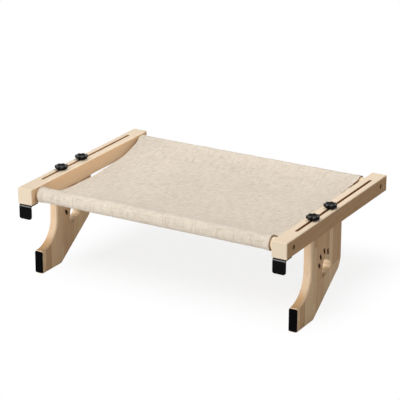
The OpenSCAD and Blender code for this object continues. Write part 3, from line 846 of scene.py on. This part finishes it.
def build_knob(stem, sizes, material):
    """Moulded star knob with rounded lobes, a dished top and a hub."""
    centre = middle(stem + "_washer")
    low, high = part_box(stem + "_knob")
    height = high.z - low.z
    hub_r, hub_h = 0.46 * sizes.knob_r, 0.2 * height
    head_h = height - hub_h
    # Whether a ring follows the star, then its inset from the star or else its radius, and its height
    rings = [
        (False, 0.23 * sizes.knob_r, 0.0), (False, hub_r - 0.0004, 0.0),
        (False, hub_r, 0.0004), (False, hub_r, hub_h - 0.0004), (False, hub_r + 0.0004, hub_h - 0.00005),
        (True, 0.0016, hub_h), (True, 0.0007, hub_h + 0.00015), (True, 0.0002, hub_h + 0.0006),
        (True, 0.0, hub_h + 0.0013), (True, 0.0, hub_h + 0.5 * head_h),
        (True, 0.00012, hub_h + 0.74 * head_h), (True, 0.00035, hub_h + 0.86 * head_h),
        (True, 0.0007, hub_h + 0.94 * head_h), (True, 0.0011, hub_h + 0.985 * head_h), (True, 0.0015, height),
        (False, 0.62 * sizes.knob_r, height), (False, 0.59 * sizes.knob_r, height - 0.0001),
        (False, 0.565 * sizes.knob_r, height - 0.0005), (False, 0.53 * sizes.knob_r, height - 0.0013),
        (False, 0.45 * sizes.knob_r, height - 0.0017), (False, 0.20 * sizes.knob_r, height - 0.0017),
    ]
    steps_per_lobe = 16
    turns = sizes.knob_lobes * steps_per_lobe
    points, faces = [], []
    for star, size, rise in rings:
        for k in range(turns):
            angle = 2 * math.pi * k / turns
            radius = star_outline(sizes, angle) - size if star else size
            x, y = centre.x + radius * math.cos(angle), centre.y + radius * math.sin(angle)
            points.append((x, y, low.z + rise))
    for ring in range(len(rings) - 1):
        for k in range(turns):
            a, b = ring * turns + k, ring * turns + (k + 1) % turns
            faces.append((a, b, b + turns, a + turns))
    faces.append(tuple((len(rings) - 1) * turns + k for k in range(turns)))
    piece = new_piece(stem + "_star_knob", points, faces, material, stem + "_knob")
    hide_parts(stem + "_knob")


# Operators

class HAMMOCK_OT_stage(Operator):
    """Set up the camera, the lamps, the room light and the floor"""

    bl_idname = "hammock.stage"
    bl_label = "Set Up Stage"

    SENSOR, LENS, CLIP = 36.0, 168.76, 50.0  # the camera's sensor and lens in mm, and its reach in m
    CAMERA_PLACE = (1.60485, -2.60953, 1.18713)
    CAMERA_TURN = (69.729, -0.117, 29.954)  # degrees
    # Name, place, point it is aimed at, width and height, spread in degrees, and the setting with its power
    SOFTBOXES = (
        ("top_softbox", (0.04, 0.23, 0.58), (0.04, 0.23, 0.0), (0.7, 0.6), 180, "top_light"),
        ("front_softbox", (-0.9, -2.6, 0.0), (0.0, 0.1, 0.0), (1.5, 0.3), 180, "front_light"),
        ("rail_strip", (0.10, 0.19, 0.16), (-0.245, 0.19, 0.015), (0.4, 0.06), 40, "rail_light"),
    )
    HIGH_SOURCE, HIGH_WIDTH = (-0.30, -0.60, 0.74), 60  # direction of the far lamp, and its width in degrees
    FLOOR_REACH, FLOOR_GAP = 14.0, 0.0002  # half the floor's width, and how far it lies under the feet
    SHADE = 0.17  # share of the floor's glow that is lost under the hammock
    # Where that shade starts, is full, starts to fade and ends
    SHADE_X, SHADE_Y = (-0.32, -0.20, 0.24, 0.36), (-0.01, 0.20, 0.40, 0.52)

    def execute(self, context):
        colours = settings().colours
        self.add_camera(context)
        for name, place, aim, size, spread, power in self.SOFTBOXES:
            self.add_softbox(context, name, place, aim, size, spread, getattr(colours, power))
        self.add_sun(context, "high_lamp", self.HIGH_SOURCE, self.HIGH_WIDTH, colours.high_light)
        self.light_room(context, colours.room_light)
        self.lay_floor(context, colours.floor, colours.floor_bounce)
        context.scene.view_settings.view_transform = "Standard"
        return {"FINISHED"}

    def add_camera(self, context):
        """A long lens from the front right, a little above the rails."""
        camera = bpy.data.cameras.new("camera")
        camera.sensor_width = self.SENSOR
        camera.lens = self.LENS
        camera.clip_end = self.CLIP
        holder = bpy.data.objects.new("camera", camera)
        holder.location = self.CAMERA_PLACE
        holder.rotation_euler = [math.radians(turn) for turn in self.CAMERA_TURN]
        context.scene.collection.objects.link(holder)
        context.scene.camera = holder

    def add_softbox(self, context, name, place, aim, size, spread, power):
        """A flat lamp at a place, turned to the point it is aimed at."""
        lamp = bpy.data.lights.new(name, "AREA")
        lamp.shape = "RECTANGLE"
        lamp.size, lamp.size_y = size
        lamp.spread = math.radians(spread)
        lamp.energy = power
        holder = bpy.data.objects.new(name, lamp)
        holder.location = place
        holder.rotation_euler = (Vector(place) - Vector(aim)).to_track_quat("Z", "Y").to_euler()
        holder.visible_camera = False
        context.scene.collection.objects.link(holder)

    def add_sun(self, context, name, source, width, strength):
        """A far lamp in the direction of its source."""
        lamp = bpy.data.lights.new(name, "SUN")
        lamp.energy = strength
        lamp.angle = math.radians(width)
        holder = bpy.data.objects.new(name, lamp)
        holder.rotation_euler = Vector(source).to_track_quat("Z", "Y").to_euler()
        context.scene.collection.objects.link(holder)

    def seen(self, graph):
        """1 for rays that show the background: straight, mirrored or refracted."""
        names = ("Is Camera Ray", "Is Glossy Ray", "Is Transmission Ray")
        straight, mirrored, refracted = graph.node("ShaderNodeLightPath", None, None, names)
        return graph.largest(straight, graph.largest(mirrored, refracted))

    def light_room(self, context, strength):
        """Soft light from all round, more from above, that shows as plain white."""
        world = bpy.data.worlds.new("room")
        world.use_nodes = True
        room = Graph(world.node_tree)
        way = room.node("ShaderNodeTexCoord", None, None, "Generated")
        up = room.step(room.split(way)[Z], 0.0, 0.9)
        level = strength * (0.75 + 0.55 * up)
        light = room.node("ShaderNodeBackground", None, {"Strength": level})
        white = room.node("ShaderNodeBackground", None, {"Color": (1, 1, 1, 1), "Strength": 1.0})
        mixed = room.node("ShaderNodeMixShader", None, {0: self.seen(room), 1: light, 2: white})
        room.node("ShaderNodeOutputWorld", None, {"Surface": mixed}, None)
        context.scene.world = world

    def lay_floor(self, context, pale, bounce):
        """A white floor, softly shaded under the hammock, that throws less light back than it shows."""
        size, low = self.FLOOR_REACH, CAD_BOX[0][Z] - self.FLOOR_GAP
        corners = [(-size, -size, low), (size, -size, low), (size, size, low), (-size, size, low)]
        mesh = bpy.data.meshes.new("floor")
        mesh.from_pydata(corners, [], [(0, 1, 2, 3)])
        paint = bpy.data.materials.new("floor_paint")
        paint.use_nodes = True
        graph = Graph(paint.node_tree)
        seen = self.seen(graph)
        x, y, _ = graph.split(graph.node("ShaderNodeTexCoord", None, None, "Object"))
        under = 1.0
        for way, (start, full, fade, end) in ((x, self.SHADE_X), (y, self.SHADE_Y)):
            under = under * graph.step(way, start, full) * (1 - graph.step(way, fade, end))
        hue = graph.blend(bounce, pale, seen)
        matt = graph.node("ShaderNodeBsdfDiffuse", None, {"Color": hue})
        glow = graph.node("ShaderNodeEmission", None, {"Color": (1, 1, 1, 1), "Strength": 1.0})
        mixed = graph.node("ShaderNodeMixShader", None, {0: (1 - self.SHADE * under) * seen, 1: matt, 2: glow})
        graph.node("ShaderNodeOutputMaterial", None, {"Surface": mixed}, None)
        mesh.materials.append(paint)
        floor = bpy.data.objects.new("floor", mesh)
        context.scene.collection.objects.link(floor)


class HAMMOCK_OT_rails(Operator):
    """Finish the two slotted rails in straight-grained wood"""

    bl_idname = "hammock.rails"
    bl_label = "Finish Rails"

    def execute(self, context):
        colours = settings().colours
        hues = (colours.rail_pale, colours.rail_deep, colours.painted_light_rail_end)
        wood = wood_finish("rail_wood", Y, hues, contrast=0.75, painted_light=0.85, holes=painted_bore_shade)
        dress(wood, ["left_rail", "right_rail"])
        return {"FINISHED"}


class HAMMOCK_OT_rods(Operator):
    """Finish the two cross rods in turned wood"""

    bl_idname = "hammock.rods"
    bl_label = "Finish Rods"

    def execute(self, context):
        colours = settings().colours
        hues = (colours.rail_pale, colours.rail_deep, colours.painted_light_rail_end)
        wood = wood_finish("rod_wood", X, hues, contrast=0.8, painted_light=0.85)
        dress(wood, ["front_rod", "rear_rod"])
        return {"FINISHED"}


class HAMMOCK_OT_legs(Operator):
    """Finish the two legs in wood glued from upright staves"""

    bl_idname = "hammock.legs"
    bl_label = "Finish Legs"

    def execute(self, context):
        colours, sizes = settings().colours, settings().sizes
        hues = (colours.leg_pale, colours.leg_deep, colours.leg_end)
        wood = wood_finish(
            "leg_wood", Z, hues, contrast=1.0, painted_light=0.5, staves=sizes.stave_w, holes=painted_paw_light_and_shade,
        )
        dress(wood, ["left_leg", "right_leg"])
        return {"FINISHED"}


class HAMMOCK_OT_sling(Operator):
    """Sew the cloth sling with its sleeves, hems and stitches"""

    bl_idname = "hammock.sling"
    bl_label = "Sew Sling"

    def execute(self, context):
        colours, sizes = settings().colours, settings().sizes
        sling = Sling(sizes)
        cloth = sling.build(cloth_finish("linen", colours.cloth, colours.cloth_deep, sizes.weave_pitch))
        stitches = sling.sew(thread_finish("sewing_thread", colours.thread))
        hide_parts("fabric_sling")
        return {"FINISHED"}


class HAMMOCK_OT_grips(Operator):
    """Finish the coated hooks and the rubber pads on hooks and feet"""

    bl_idname = "hammock.grips"
    bl_label = "Finish Hooks and Pads"

    def execute(self, context):
        colours = settings().colours
        coat = moulded_finish(
            "black_coat", colours.coat, scale=1500.0, base_roughness=0.30, gloss=0.03, bend=0.6,
        )
        rubber = moulded_finish("pad_rubber", colours.rubber, scale=2600.0, base_roughness=0.78, gloss=0.015)
        dress(coat, [side + "_hook" for side in SIDES])
        dress(rubber, [side + pad for side in SIDES for pad in ("_hook_pad", "_foot_pad")])
        return {"FINISHED"}


class HAMMOCK_OT_knobs(Operator):
    """Mould the four star knobs"""

    bl_idname = "hammock.knobs"
    bl_label = "Mould Knobs"

    def execute(self, context):
        colours, sizes = settings().colours, settings().sizes
        plastic = moulded_finish(
            "knob_plastic", colours.knob, scale=2200.0, base_roughness=0.30, gloss=0.75, tops=knob_tops,
        )
        for stem in STEMS:
            build_knob(stem, sizes, plastic)
        return {"FINISHED"}


class HAMMOCK_OT_fasteners(Operator):
    """Finish the studs, washers, nuts, bolts, screws and inserts"""

    bl_idname = "hammock.fasteners"
    bl_label = "Finish Fasteners"

    def execute(self, context):
        colours, sizes = settings().colours, settings().sizes
        plain = plated_finish("zinc_plate", colours.zinc)
        threaded = plated_finish("zinc_thread", colours.zinc, threads=sizes.stud_pitch)
        black = moulded_finish("black_zinc", colours.black_zinc, scale=1800.0, base_roughness=0.42, gloss=0.03)
        dress(black, [stem + "_washer" for stem in STEMS])
        dress(black, [side + "_rod_bolts" for side in SIDES])
        dress(plain, [side + kind for side in SIDES for kind in ("_leg_nuts", "_hook_screws")])
        dress(threaded, [stem + "_stud" for stem in STEMS])
        dress(plated_finish("turned_brass", colours.brass), ["front_rod_inserts", "rear_rod_inserts"])
        return {"FINISHED"}


OPERATORS = (
    HAMMOCK_OT_stage, HAMMOCK_OT_rails, HAMMOCK_OT_rods, HAMMOCK_OT_legs, HAMMOCK_OT_sling, HAMMOCK_OT_grips,
    HAMMOCK_OT_knobs, HAMMOCK_OT_fasteners,
)


class HAMMOCK_PT_parts(Panel):
    """Lists the hammock's steps and settings in the sidebar"""

    bl_idname = "HAMMOCK_PT_parts"
    bl_label = "Cat Hammock"
    bl_space_type = "VIEW_3D"
    bl_region_type = "UI"
    bl_category = "Cat Hammock"

    def draw(self, context):
        for operator in OPERATORS:
            self.layout.operator(operator.bl_idname)
        for group in (settings().sizes, settings().colours):
            box = self.layout.box()
            for name in group.__annotations__:
                box.prop(group, name)


CLASSES = (HammockSizes, HammockColours, HammockSettings, *OPERATORS, HAMMOCK_PT_parts)


def register():
    for kind in CLASSES:
        bpy.utils.register_class(kind)
    bpy.types.Scene.hammock = PointerProperty(type=HammockSettings)


def unregister():
    del bpy.types.Scene.hammock
    for kind in reversed(CLASSES):
        bpy.utils.unregister_class(kind)


def main():
    register()
    bpy.ops.hammock.stage()
    bpy.ops.hammock.rails()
    bpy.ops.hammock.rods()
    bpy.ops.hammock.legs()
    bpy.ops.hammock.sling()
    bpy.ops.hammock.grips()
    bpy.ops.hammock.knobs()
    bpy.ops.hammock.fasteners()


if __name__ == "__main__":
    main()
